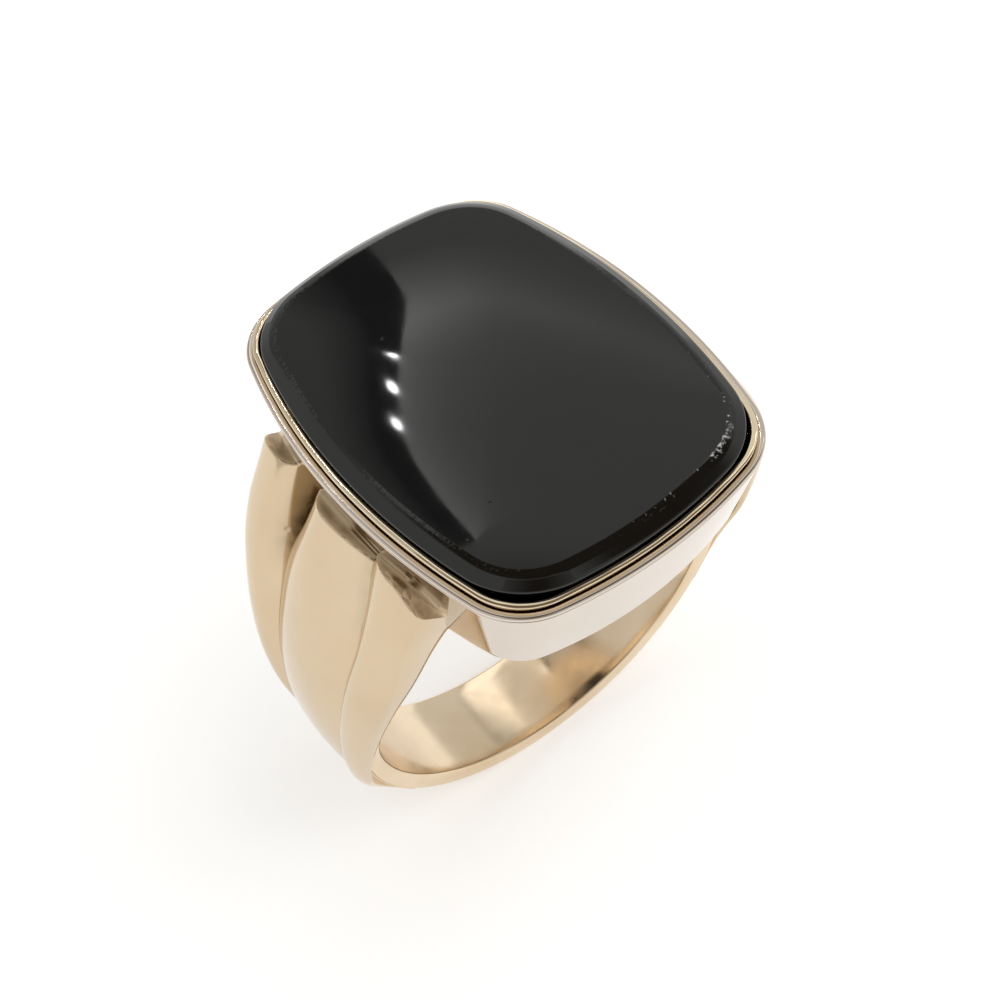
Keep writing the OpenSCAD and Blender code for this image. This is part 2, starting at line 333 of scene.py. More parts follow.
plate_low, plate_high = low_high("base_plate")
WINDOW_W, WINDOW_L = 7.0, 11.2
plate_outline = cushion(WINDOW_W / 2, WINDOW_L / 2, CORNER_R / 2, 0.0, SIDE_BOW / 2, END_BOW / 2)[0]
plate_outer = head_rings(np.concatenate([
    arc((WALL_T + 0.06, plate_low[2] + 0.05), 0.05, 270, 180, 4),
    arc((WALL_T + 0.06, plate_high[2] - 0.05), 0.05, 180, 90, 4)]))


def window_ring(grow, z):
    """The open back's outline at one height, grown by a small amount for the softened edge."""
    ring = plate_outline + np.sign(plate_outline) * grow
    return np.concatenate([ring, np.full((len(ring), 1), z)], -1)


plate_rings = np.concatenate([plate_outer, [
    window_ring(0.05, plate_high[2]), window_ring(0.015, plate_high[2] - 0.015),
    window_ring(0.0, plate_high[2] - 0.05), window_ring(0.0, plate_low[2] + 0.05),
    window_ring(0.015, plate_low[2] + 0.015), window_ring(0.05, plate_low[2])]])
plate = crisp(stack_mesh("base_plate_frame", plate_rings, joined_ends=True), 50)
print("the open back is", WINDOW_W, "by", WINDOW_L, "mm")


# %% [markdown]
# ## The finger band
# The band is one flat strip bent round the finger. It is narrow and plain below and widens towards the
# head, where its two ends stop at the open back. Inside it must stay a true cylinder, while its edges
# are rounded over for comfort. The section is carried round the finger by angle, measured from the top.

# %% Make the band
FLARE_ANGLE, FLARE_SPREAD = 79.0, 8.0


def band_half(angle):
    """Half-width of the band: an S-shaped step from the narrow width to the flared one."""
    return BAND_HALF + BAND_FLARE / (1 + np.exp((angle - FLARE_ANGLE) / FLARE_SPREAD))


def band_r(angle):
    """Outside radius: a circle whose centre lies a little below the finger's centre."""
    t = np.radians(angle)
    return -BAND_DROP * np.cos(t) + np.sqrt(BAND_OUTER_R ** 2 - (BAND_DROP * np.sin(t)) ** 2)


INNER_SOFT, OUTER_SOFT = 0.14, 0.16
CROWN = 0.03
END_FADE = 12
quarter = np.radians(np.linspace(0, 90, 6))
start = np.degrees(np.arcsin(WINDOW_W / 2 / FINGER_R))
turn = np.linspace(start, 360 - start, 361)
fold = np.minimum(turn, 360 - turn)
half = band_half(fold)[:, None]
outer = band_r(fold)[:, None]
flat = np.linspace(-1, 1, 9)[1:-1]
corner_sin, corner_cos = np.sin(quarter), np.cos(quarter)
section_y = np.concatenate([
    half - INNER_SOFT + INNER_SOFT * corner_sin, half - OUTER_SOFT + OUTER_SOFT * corner_cos,
    (half - OUTER_SOFT) * flat[::-1], -(half - OUTER_SOFT) - OUTER_SOFT * corner_cos[::-1],
    -(half - INNER_SOFT) - INNER_SOFT * corner_sin[::-1], (half - INNER_SOFT) * flat], 1)
ones = np.ones_like(half)
section_r = np.concatenate([
    ones * (FINGER_R + INNER_SOFT * (1 - corner_cos)),
    outer - OUTER_SOFT * (1 - corner_sin),
    outer + CROWN * (1 - flat[::-1] ** 2) * np.clip((fold[:, None] - 110) / 40, 0, 1),
    outer - OUTER_SOFT * (1 - corner_sin[::-1]),
    ones * (FINGER_R + INNER_SOFT * (1 - corner_cos[::-1])),
    ones * np.full(len(flat), FINGER_R)], 1)
section_r = np.where(fold[:, None] > 100, np.minimum(section_r, BAND_OUTER_R + BAND_DROP), section_r)
end_shift = np.degrees(np.arcsin(WINDOW_W / 2 / section_r)) - start
fade = np.clip(1 - (fold[:, None] - start) / END_FADE, 0, 1)
swing = np.radians(np.where(turn[:, None] < 180, turn[:, None] + end_shift * fade,
                            turn[:, None] - end_shift * fade))
section_z = section_r * np.cos(swing)
band_rings = np.stack([section_r * np.sin(swing), section_y,
                       np.minimum(section_z, HEAD_BOTTOM - 0.01)], -1)
band = crisp(stack_mesh("finger_band_round", band_rings), 50)
print("band", 2 * band_half(180), "mm wide below and", 2 * band_half(40), "mm beside the head")


# %% [markdown]
# ## The shoulder wires
# Three half-round wires lie side by side on each shoulder. Each one is tallest at the wall of the head,
# falls away quickly and runs out to nothing on the band. Between them lie two sharp valleys. The tops
# are a surface of two parameters: the angle round the finger, and a place across the wire.

# %% Heights and widths along the shoulder
SHOULDER_H, MIDDLE_RISE, SHOULDER_W = 4.49, 0.07, 5.8
RIDGE_START, RIDGE_DECAY, RIDGE_SPAN = 31.0, 34.5, 110.0
VALLEY_SHARE = 0.66
WIDTH_SLOPE, WIDTH_EASE = 0.0435, 0.6
FILED_IN = 0.11
RIB_END = 124.0


def smooth(t):
    """The S-shaped step 3t^2 - 2t^3 between 0 and 1."""
    u = np.clip(t, 0, 1)
    return u * u * (3 - 2 * u)


def shoulder_half(angle):
    """Half-width of the shoulder: a straight taper that eases into the band's own width, filed in a
    little beside the wall and drawn in to the band's edge at the tail."""
    taper = SHOULDER_W - BAND_HALF - WIDTH_SLOPE * (angle - 28)
    width = BAND_HALF + (taper + np.sqrt(taper ** 2 + WIDTH_EASE ** 2)) / 2
    width = width * (1 - FILED_IN * (1 - smooth((angle - 30) / 20)))
    return width + (band_half(angle) - 0.02 - width) * smooth((angle - 92) / 26)


def ridge_h(angle):
    """Height of the outer wires over the band: an exponential fall that reaches zero at the tail."""
    t = angle - RIDGE_START
    tail = 1 - smooth((angle - 100) / (RIB_END - 100))
    return SHOULDER_H * np.exp(-t / RIDGE_DECAY) * (1 - np.clip(t / RIDGE_SPAN, 0, 1) ** 3) * tail


def valley_h(angle, fill):
    """Height of a valley, as a share of the ridge's. The fill raises or lowers it near the wall."""
    share = VALLEY_SHARE + (1 - VALLEY_SHARE) * smooth((angle - 75) / 60)
    return ridge_h(angle) * np.clip(share + fill * (1 - smooth((angle - 30) / 13)), 0, 0.97)


def valley_y(angle):
    """How far a valley lies from the middle of the shoulder."""
    share = 0.5 + 0.2 * smooth((angle - 45) / 60) - 0.003 * np.clip(45 - angle, 0, None)
    return shoulder_half(angle) * share


def wall_x(y, z):
    """Where the outside of the long wall lies, at a place along the finger and a height."""
    down = np.clip((RIM_Z - z) / (RIM_Z - HEAD_BOTTOM), 0, 1)
    half_l = HEAD_HALF_L - LEAN_END * down - END_BOW
    side_r = (half_l ** 2 + SIDE_BOW ** 2) / (2 * SIDE_BOW)
    return HEAD_HALF_W - LEAN_SIDE * down - side_r + np.sqrt(side_r ** 2 - y ** 2)


print("wires start", ridge_h(RIDGE_START), "mm tall, shoulders", 2 * shoulder_half(RIDGE_START), "mm wide")


# %% [markdown]
# The wires do not simply run into the wall. Each was filed square before it was soldered, so its end is
# a small ledge with a crisp edge, and a narrow notch stays between the ledge and the wall. The surface
# is the lower of two shapes, the wire and the ledge, blended over a few hundredths of a millimetre.
# Where each line of the wire starts is found by halving an interval until it touches the wall. Each
# point also stores a painted shade that darkens the notches and the pockets beside the valleys near the
# wall, in place of the shade and dark reflections there.

# %% Shape one wire
FILL_FRONT, FILL_BACK = 0.24, -0.16
LEDGE_END = 60.0
LEDGE_SOFT = 0.07
SOLDER_REACH = 0.12
TAIL_SINK = 0.04


def lower_of(a, b, soft):
    """The smaller of two heights, rounded off where they are nearly equal."""
    return (a + b - np.sqrt((a - b) ** 2 + soft ** 2)) / 2


def middle_place(angle, u, _side):
    """Place across (-1 to 1) to distance along the finger and height: a parabola between the valleys."""
    y = valley_y(angle) * u
    low = valley_h(angle, np.where(u < 0, FILL_FRONT, FILL_BACK))
    high = ridge_h(angle) * (1 + MIDDLE_RISE)
    return y, low + (high - low) * (1 - np.abs(u) ** 2.2)


def outer_place(angle, u, side):
    """Place across (0 at the valley, 1 at the crest, 2 at the widest point, 3 at the band's edge): a
    parabola, then two quarter ellipses. The flank is measured from the unfilled valley."""
    inside, outside = valley_y(angle), shoulder_half(angle)
    crest = inside + 0.47 * (outside - inside)
    low = valley_h(angle, FILL_FRONT if side < 0 else FILL_BACK)
    high = ridge_h(angle)
    flank = valley_h(angle, 0) * np.clip(1 - (angle - 52) / 50, 0.4, 1.25)
    edge = band_half(angle) - 0.03
    up = np.clip(u, 0, 1)
    over = np.radians(90 * np.clip(u - 1, 0, 1))
    under = np.radians(90 * np.clip(u - 2, 0, 1))
    y = np.where(u <= 1, inside + (crest - inside) * up,
                 np.where(u <= 2, crest + (outside - crest) * np.sin(over),
                          edge + (outside - edge) * np.cos(under)))
    h = np.where(u <= 1, low + (high - low) * (1 - (1 - up) ** 2.2),
                 np.where(u <= 2, flank + (high - flank) * np.cos(over),
                          flank * (1 - np.sin(under))))
    return side * y, h


def wire_point(place, angle, u, side, ledge):
    """A point on a wire: out from the finger's centre by the band and the wire's height, but no higher
    than the ledge. The ledge falls towards the wall, where a little solder climbs it again. The last
    value returned is painted shade for the notch, which grows with the depth of the cut and stays off
    the solder."""
    y, h = place(angle, u, side)
    t = np.radians(angle)
    r = band_r(angle) + h - TAIL_SINK * smooth((angle - 104) / 16)
    height, slope, solder, sag_from, sag, steeper = ledge
    beyond = np.clip(np.abs(y) - sag_from, 0, None)
    height = height - sag * beyond ** 2
    slope = slope + steeper * beyond
    steep = np.minimum(t, np.radians(LEDGE_END))
    away = np.clip(height * np.tan(steep) - wall_x(y, height), 0, None)
    top = (height + slope * away + solder * np.exp(-away / SOLDER_REACH)) / np.cos(steep)
    cut = np.where(angle < LEDGE_END, lower_of(r, top, LEDGE_SOFT), r)
    # Painted shade: darker the deeper the cut below the ledge, none on the solder
    notch_shade = np.clip((r - cut) / 0.24 - 0.2, 0, 1) * (1 - np.exp(-(away / 0.11) ** 2))
    return cut * np.sin(t), y, cut * np.cos(t), np.where(angle < LEDGE_END, notch_shade, 0)


# %% [markdown]
# A wire does not end where it meets the wall. Its lower part goes on below the head, almost to the end
# of the band, and its two feet sink a little into the band, so that no light shows under it. Both are
# only more rings and more points of the same stack, so each wire stays one closed skin. The wires also
# reach a hundredth of a millimetre into the wall, which closes the seam as solder would.

# %% Close one wire below the head and along its feet
UNDER_FROM = 3.7
UNDER_GAP = 0.012
WALL_REACH = 0.01
FOOT_DEPTH = 0.1


def under_head(first):
    """Rings that carry a wire on below the head to the end of the band. Each point of the first ring
    moves inward at a fixed height over the band, but never above the head's bottom edge."""
    wall_foot = np.minimum(first[:, 0], wall_x(first[:, 1], HEAD_BOTTOM) - WALL_REACH)
    x = UNDER_FROM + (wall_foot - UNDER_FROM) * np.linspace(0, 1, 7)[:, None]
    rise = np.sqrt(BAND_OUTER_R ** 2 - x ** 2) - np.sqrt(BAND_OUTER_R ** 2 - first[:, 0] ** 2)
    z = np.minimum(first[:, 2] + rise, HEAD_BOTTOM - UNDER_GAP)
    return np.stack([x, np.broadcast_to(first[:, 1], x.shape), z], -1)


def wire_rings(place, u, side, ledge):
    """Rings of a wire, its painted shade and its tail value, from 0 to 1. Each ring is the line across its
    top, then two feet sunk into the band. Every line along the wire starts where it meets the wall and
    ends at the tail. More rings below the head come first."""
    low, high = np.full(len(u), 18.0), np.full(len(u), 75.0)
    for _ in range(40):
        middle = (low + high) / 2
        x, y, z, _ = wire_point(place, middle, u, side, ledge)
        inside = x < wall_x(y, z) - WALL_REACH
        low, high = np.where(inside, middle, low), np.where(inside, high, middle)
    steps = np.concatenate([np.linspace(0, 0.12, 70), np.linspace(0.12, 1, 90)[1:]])[:, None]
    angle = high + (RIB_END - high) * steps
    x, y, z, notch_shade = wire_point(place, angle, u[None, :], side, ledge)
    # Painted shade in the pockets beside the valleys near the wall, stronger on the back side
    pocket = np.exp(-((np.abs(y) - valley_y(angle)) / 0.30) ** 2) * (1 - smooth((angle - 38) / 12))
    notch_shade = np.maximum(0.75 * notch_shade, np.where(y > 0, 0.95, 0.25) * pocket)
    feet_angle = np.radians(angle[:, [-1, 0]])
    feet_r = band_r(angle[:, [-1, 0]]) - FOOT_DEPTH
    feet = np.stack([feet_r * np.sin(feet_angle), y[:, [-1, 0]], feet_r * np.cos(feet_angle)], -1)
    rings = np.concatenate([np.stack([x, y, z], -1), feet], 1)
    below = under_head(rings[0])
    unshaded = np.zeros(below.shape[:2])
    painted_shade = np.concatenate([unshaded, np.concatenate([notch_shade, notch_shade[:, [-1, 0]]], 1)])
    tail = np.concatenate([unshaded, np.repeat(smooth((angle[:, :1] - 88) / 32), len(u) + 2, 1)])
    return np.concatenate([below, rings]), painted_shade, tail


# %% [markdown]
# The ledges are not alike. Each was filed by eye, so the front one sags and steepens most towards its
# outside, where it opens into the largest notch.

# %% Make the six wires
# Height at the wall, slope away from it, height of the solder, then how far from the middle the ledge
# starts to sag, how fast it sags and how fast it steepens
MIDDLE_LEDGE = (12.4, 1.1, 0.20, 0.6, 0.12, 0.0)
FRONT_LEDGE = (12.3, 1.2, 0.20, 3.6, 0.6, 0.4)
BACK_LEDGE = (12.25, 0.9, 0.20, 3.2, 0.16, 0.25)
middle_u = np.sin(np.linspace(-np.pi / 2, np.pi / 2, 91))
outer_u = np.concatenate([np.linspace(0, 1, 34), np.linspace(1, 2, 44)[1:], np.linspace(2, 3, 16)[1:]])


def make_wire(name, node, place, u, side, ledge, flip):
    """One wire, mirrored to the left shoulder if flip is -1."""
    rings, painted_shade, tail = wire_rings(place, u, side, ledge)
    rings[..., 0] *= flip
    wire = crisp(stack_mesh(name, rings), 40)
    for label, values in (("painted_shade", painted_shade), ("tail", tail)):
        stored = np.concatenate([values.reshape(-1), values[0, :1], values[-1, :1]]).astype(np.float32)
        wire.data.attributes.new(label, "FLOAT", "POINT").data.foreach_set("value", stored)
    return belongs(wire, node)


wires = []
for hand, flip in (("left", -1), ("right", 1)):
    for which, place, u, side, ledge in (("front", outer_place, outer_u, -1, FRONT_LEDGE),
                                         ("middle", middle_place, middle_u, 1, MIDDLE_LEDGE),
                                         ("back", outer_place, outer_u, 1, BACK_LEDGE)):
        wires.append(make_wire(hand + "_wire_" + which, hand + "_rib_" + which,
                               place, u, side, ledge, flip))


# %% [markdown]
# Every piece says which solid it covers and which body it rides on. The wires said so as they were made,
# and the other six follow.

# %% Tie the other pieces to the frame
belongs(wall, "bezel_wall")
belongs(lip, "bezel_lip")
belongs(stone, "onyx_stone")
belongs(seat, "stone_seat")
belongs(plate, "base_plate")
belongs(band, "finger_band")


# %% [markdown]
# ## Finishes
# Polished gold is almost all reflection, so what makes it look real is what disturbs the reflection:
# a haze of hairline scratches, a few pits left by the casting and slow changes in colour where the
# polish is older. The same recipe serves every gold piece, with other amounts of each.

# %% Helpers for node trees
def new_finish(name):
    """An empty node-based material with its shader and output, and a helper to add linked nodes."""
    finish = bpy.data.materials.new(name)
    finish.use_nodes = True
    tree = finish.node_tree
    shader = tree.nodes["Principled BSDF"]

    def add(kind, inputs=None, **settings):
        node = tree.nodes.new(kind)
        for key, value in settings.items():
            setattr(node, key, value)
        for key, value in (inputs or {}).items():
            if isinstance(value, bpy.types.NodeSocket):
                tree.links.new(value, node.inputs[key])
            else:
                node.inputs[key].default_value = value
        return node

    return finish, tree, shader, add


def ramp(add, factor, stops):
    """A colour ramp from rows of (position, colour)."""
    node = add("ShaderNodeValToRGB", {"Fac": factor})
    elements = node.color_ramp.elements
    elements[0].position, elements[0].color = stops[0][0], (*stops[0][1], 1)
    elements[1].position, elements[1].color = stops[-1][0], (*stops[-1][1], 1)
    for position, colour in stops[1:-1]:
        elements.new(position).color = (*colour, 1)
    return node.outputs["Color"]


def mix_colours(add, share, base, over):
    """A mix of two colours: base where the share is 0, over where it is 1."""
    return add("ShaderNodeMix", {0: share, 6: base, 7: over}, data_type="RGBA").outputs[2]


BAND_PALE, BAND_DEEP = (0.84, 0.69, 0.51), (0.74, 0.58, 0.39)
# Dark brown that the gold is mixed towards as painted shade in the notches and valley pockets
PAINTED_SHADE_TONE = (0.20, 0.145, 0.085, 1)


def gold(name, pale, deep, rough, scratch, pits, waviness):
    """Polished gold. Slow noise mixes the two colours, stretched noise makes the hairlines, and sparse
    small cells make the pits. Where the piece stores painted shade, the gold is darkened in blotches
    towards a dark brown, and where it stores tail, it takes the tone of the band."""
    finish, tree, shader, add = new_finish(name)
    place = add("ShaderNodeTexCoord").outputs["Object"]
    slow = add("ShaderNodeTexNoise", {"Vector": place, "Scale": 260.0, "Detail": 3.0})
    own = ramp(add, slow.outputs["Fac"], [(0.3, deep), (0.7, pale)])
    band_tone = ramp(add, slow.outputs["Fac"], [(0.3, BAND_DEEP), (0.7, BAND_PALE)])
    tail = add("ShaderNodeAttribute", attribute_name="tail").outputs["Fac"]
    unshaded = mix_colours(add, tail, own, band_tone)
    painted_shade = add("ShaderNodeAttribute", attribute_name="painted_shade").outputs["Fac"]
    blotch = add("ShaderNodeTexNoise", {"Vector": place, "Scale": 1500.0, "Detail": 4.0})
    patchy = add("ShaderNodeMapRange", {"Value": blotch.outputs["Fac"], "From Min": 0.35, "From Max": 0.6,
                                        "To Min": 0.55, "To Max": 1.0})
    # Painted shade: the stored amount, broken into blotches, darkens the gold towards the dark brown
    shade_share = add("ShaderNodeMath", {0: painted_shade, 1: patchy.outputs["Result"]}, operation="MULTIPLY")
    colour = mix_colours(add, shade_share.outputs["Value"], unshaded, PAINTED_SHADE_TONE)
    tree.links.new(colour, shader.inputs["Base Color"])
    shader.inputs["Metallic"].default_value = 1.0
    haze = add("ShaderNodeTexNoise", {"Vector": place, "Scale": 900.0, "Detail": 6.0})
    polish = add("ShaderNodeMapRange", {"Value": haze.outputs["Fac"], "From Min": 0.3, "From Max": 0.7,
                                        "To Min": rough[0], "To Max": rough[1]})
    tree.links.new(polish.outputs["Result"], shader.inputs["Roughness"])
    stretched = add("ShaderNodeMapping", {"Vector": place, "Scale": (1.0, 0.06, 1.0),
                                          "Rotation": (0.3, 0.5, 0.8)})
    lines = add("ShaderNodeTexNoise", {"Vector": stretched.outputs["Vector"], "Scale": 9000.0,
                                       "Detail": 2.0})
    swell = add("ShaderNodeTexNoise", {"Vector": place, "Scale": 330.0, "Detail": 1.0})
    cells = add("ShaderNodeTexVoronoi", {"Vector": place, "Scale": 520.0})
    pit = add("ShaderNodeMapRange", {"Value": cells.outputs["Distance"], "From Min": 0.04, "From Max": 0.10,
                                     "To Min": 0.0, "To Max": 1.0})
    waves = add("ShaderNodeBump", {"Height": swell.outputs["Fac"], "Strength": 1.0, "Distance": waviness})
    fine = add("ShaderNodeBump", {"Height": lines.outputs["Fac"], "Strength": 1.0, "Distance": scratch,
                                  "Normal": waves.outputs["Normal"]})
    dents = add("ShaderNodeBump", {"Height": pit.outputs["Result"], "Strength": 1.0, "Distance": pits,
                                   "Normal": fine.outputs["Normal"]})
    tree.links.new(dents.outputs["Normal"], shader.inputs["Normal"])
    return finish


# %% [markdown]
# One alloy is mixed four times. The roughness follows how each part was polished and rubbed, while the
# colours are made lighter or darker part by part as painted light, to match how bright each part looks:
# deep for the shoulders, greyer and smoother for the wall, brightest for the rubbed lip, and a little
# rougher for the band and the two frames under the stone.

# %% Mix the four golds
# Painted light: the base colours differ in brightness part by part, from the dark shoulders to the bright
# lip
shoulder_gold = gold("shoulder gold", pale=(0.66, 0.53, 0.37), deep=(0.62, 0.485, 0.325),
                     rough=(0.09, 0.16), scratch=8e-8, pits=1.4e-5, waviness=2e-6)
wall_gold = gold("wall gold", pale=(0.68, 0.605, 0.53), deep=(0.64, 0.565, 0.485),
                 rough=(0.05, 0.09), scratch=4e-8, pits=0.0, waviness=2e-6)
lip_gold = gold("lip gold", pale=(0.95, 0.82, 0.62), deep=(0.90, 0.74, 0.52),
                rough=(0.07, 0.12), scratch=8e-8, pits=0.0, waviness=6e-6)
band_gold = gold("band gold", pale=BAND_PALE, deep=BAND_DEEP,
                 rough=(0.09, 0.22), scratch=1e-7, pits=2e-6, waviness=3e-6)


def dress(pieces, finish):
    """Gives each piece this one finish."""
    for piece in pieces:
        piece.data.materials.clear()
        piece.data.materials.append(finish)


dress(wires, shoulder_gold)
dress([wall], wall_gold)
dress([lip], lip_gold)
dress([band, seat, plate], band_gold)
print("gold finishes:", shoulder_gold.name, wall_gold.name, lip_gold.name, band_gold.name)


# %% [markdown]
# Onyx is black glass to the eye: a weak mirror over a nearly black body. The body gets a barely visible
# cloud of grey-green, the surface a few specks, and the bevel's upper edge its chips, which are rough and
# pale: partly chips, partly a painted highlight that draws the edge's bright broken line.

# %% Polish the stone
# Pale grey of the chips, which also serves as a painted highlight along the bevel's edge
CHIP_AND_GLINT_TONE = (0.5, 0.49, 0.47, 1)


def onyx():
    """Black stone: dark cloud, clear polish, and rough pale chips where noise and the edge mask meet; the
    pale chips are also a painted highlight along the edge.
    """
    finish, tree, shader, add = new_finish("black onyx")
    place = add("ShaderNodeTexCoord").outputs["Object"]
    cloud = add("ShaderNodeTexNoise", {"Vector": place, "Scale": 180.0, "Detail": 4.0})
    body = ramp(add, cloud.outputs["Fac"],
                [(0.35, (0.0020, 0.0022, 0.0022)), (0.7, (0.0045, 0.0048, 0.0047))])
    edge = add("ShaderNodeAttribute", attribute_name="arris").outputs["Fac"]
    grain = add("ShaderNodeTexNoise", {"Vector": place, "Scale": 7000.0, "Detail": 3.0})
    patch = add("ShaderNodeTexNoise", {"Vector": place, "Scale": 200.0, "Detail": 1.0})
    chance = add("ShaderNodeMath", {0: grain.outputs["Fac"], 1: patch.outputs["Fac"]}, operation="MULTIPLY")
    chip = add("ShaderNodeMapRange", {"Value": chance.outputs["Value"], "From Min": 0.25, "From Max": 0.31})
    # Chips and painted highlight together: where the chip noise meets the edge mask
    chip_and_glint = add("ShaderNodeMath", {0: chip.outputs["Result"], 1: edge}, operation="MULTIPLY")
    colour = mix_colours(add, chip_and_glint.outputs["Value"], body, CHIP_AND_GLINT_TONE)
    tree.links.new(colour, shader.inputs["Base Color"])
    haze = add("ShaderNodeTexNoise", {"Vector": place, "Scale": 700.0, "Detail": 5.0})
    polish = add("ShaderNodeMapRange", {"Value": haze.outputs["Fac"], "From Min": 0.3, "From Max": 0.7,
                                        "To Min": 0.03, "To Max": 0.06})
    rough = add("ShaderNodeMath", {0: chip_and_glint.outputs["Value"], 1: 0.3, 2: polish.outputs["Result"]},
                operation="MULTIPLY_ADD")
    tree.links.new(rough.outputs["Value"], shader.inputs["Roughness"])
    shader.inputs["IOR"].default_value = 1.54
    dust = add("ShaderNodeTexVoronoi", {"Vector": place, "Scale": 700.0})
    speck = add("ShaderNodeMapRange", {"Value": dust.outputs["Distance"], "From Min": 0.02,
                                       "From Max": 0.05})
    relief = add("ShaderNodeMath", {0: speck.outputs["Result"], 1: chip_and_glint.outputs["Value"]},
                 operation="SUBTRACT")
    bump = add("ShaderNodeBump", {"Height": relief.outputs["Value"], "Strength": 1.0, "Distance": 4e-6})
    tree.links.new(bump.outputs["Normal"], shader.inputs["Normal"])
    return finish


dress([stone], onyx())
print("the stone's finish is", stone.data.materials[0].name)


# %% [markdown]
# ## The studio
# The ring stands on a white floor in a pale room. Polished metal shows its surroundings more than
# itself, so the room is built for its reflection: pale all round, with brighter and darker patches that
# glow. A patch is part of a sphere round the head, so its place is just a direction, and its glow is
# stored on its points. Patches are hidden from the camera and light nothing, so they shape reflections
# and leave the soft light on the floor alone.

# %% Helpers for patches of sky
ROOM = 0.70
WARM_DARK = np.array([0.13, 0.095, 0.06])
NEUTRAL = np.array([1.0, 0.99, 0.965])
HEAD_CENTRE = np.array([0.0, 0.0, 14.0])
SKY_R = 170.0


def glow_finish(name):
    """A finish that glows with the colour stored on the mesh."""
    glow = bpy.data.materials.new(name)
    glow.use_nodes = True
    nodes = glow.node_tree.nodes
    nodes.remove(nodes["Principled BSDF"])
    emission = nodes.new("ShaderNodeEmission")
    colour = nodes.new("ShaderNodeAttribute")
    colour.attribute_name = "glow"
    glow.node_tree.links.new(colour.outputs["Vector"], emission.inputs["Color"])
    glow.node_tree.links.new(emission.outputs["Emission"], nodes["Material Output"].inputs["Surface"])
    return glow


def sky_patch(name, azimuth, elevation, glow, radius=SKY_R, centre=HEAD_CENTRE):
    """A patch of a sphere that only reflections see, in degrees. Azimuth is measured from +Y towards +X.
    The angles are spread to one grid, and glow adds a last axis of red, green and blue."""
    azimuth, elevation = np.broadcast_arrays(azimuth, elevation)
    a, e = np.radians(azimuth), np.radians(elevation)
    places = np.stack([np.sin(a) * np.cos(e), np.cos(a) * np.cos(e), np.sin(e)], -1) * radius + centre
    rows, columns = azimuth.shape
    i, j = np.arange(rows - 1)[:, None], np.arange(columns - 1)[None, :]
    first = i * columns + j
    faces = np.stack([first, first + 1, first + columns + 1, first + columns], -1).reshape(-1, 4)
    mesh = bpy.data.meshes.new(name)
    mesh.from_pydata((places.reshape(-1, 3) * MM).tolist(), [], faces.tolist())
    stored = np.broadcast_to(glow, (rows, columns, 3)).reshape(-1).astype(np.float32)
    mesh.attributes.new("glow", "FLOAT_VECTOR", "POINT").data.foreach_set("vector", stored)
    mesh.materials.append(glow_finish(name))
    piece = bpy.data.objects.new(name, mesh)
    bpy.context.collection.objects.link(piece)
    piece.visible_camera = False
    piece.visible_diffuse = False
    piece.visible_shadow = False
    print("sky patch", name, "has", len(faces), "faces")
    return piece


def dim(dark):
    """Colours between the room's own glow, where dark is 0, and the warm dark tone, where it is 1."""
    return (ROOM * (1 - dark))[..., None] * NEUTRAL + dark[..., None] * WARM_DARK


# %% [markdown]
# A domed black stone shows what hangs above and behind it. Here that is a bright panel whose left edge
# curves like an S, and a dark seam beside it. The seam is what draws the long bent line across the table
# of the stone, and three small lamps stand in it.

# %% Hang the bright panel, the dark seam and the lamps
SEAM_AT = ([20, 30, 36.3, 39.8, 42.6, 46.2, 48.8, 50.3, 52.7, 54.2, 56.8, 60.5, 64],
           [14, 17, 19.5, 20.6, 20.0, 17.6, 15.2, 13.4, 11.0, 9.2, 8.0, 7.8, 9])
SEAM_W = 3.2
SEAM_GLOW = 0.09
FAR_GLOW = 0.52
LAMPS = ((18.6, 47.5), (15.6, 50.4), (12.6, 53.4))
LAMP_GLOW = 34.0

elevation = np.linspace(22, 64, 43)[:, None]
seam = np.interp(elevation, *SEAM_AT)
across = np.linspace(0, 1, 41)[None, :]

# The panel is brightest at the seam and fades away from it and towards the floor
past = 50 * across ** 1.6
swell = 0.35 * np.exp(-((elevation - 41.5) / 3) ** 2) * np.exp(-past / 30)
level = ROOM + 0.95 * np.exp(-past / 6) + swell
level = FAR_GLOW + (level - FAR_GLOW) * np.clip((elevation - 35) / 7, 0, 1)
sky_patch("bright panel", seam + SEAM_W + past, elevation, level[..., None] * NEUTRAL)

# The seam's own width comes first, then the panel to its left, a shade darker than the room
before = 40 * (1 - across) ** 1.7
shade = SEAM_GLOW + 0.40 * np.clip((before - 1.0) / 8, 0, 1) ** 0.8
seam_azimuth = np.concatenate([seam + SEAM_W * np.array([[1, 0.5, 0]]), seam - before[:, ::-1]], 1)
seam_glow = np.concatenate([np.full((1, 3), SEAM_GLOW), shade[:, ::-1]], 1)
sky_patch("dark seam", seam_azimuth, elevation, seam_glow[..., None] * NEUTRAL)

# Each lamp is a small oval that drops to almost nothing at its rim
rim_angle = np.radians(np.linspace(0, 360, 25))[None, :]
rim_size = np.array([0.0, 0.48, 0.62])[:, None]
for number, (lamp_azimuth, lamp_elevation) in enumerate(LAMPS):
    sky_patch("lamp_%d" % number, lamp_azimuth + 1.25 * rim_size * np.cos(rim_angle),
              lamp_elevation + rim_size * np.sin(rim_angle),
              np.array([LAMP_GLOW, LAMP_GLOW, 0.4])[:, None, None], radius=SKY_R - 4)


# %% [markdown]
# The stone's bevel leans out, so it looks past the panels to the sides. A dark ceiling that comes down
# low on the left and on the right keeps it black, as in a room with dark corners. A dim patch stands
# where the camera and its stand would be.

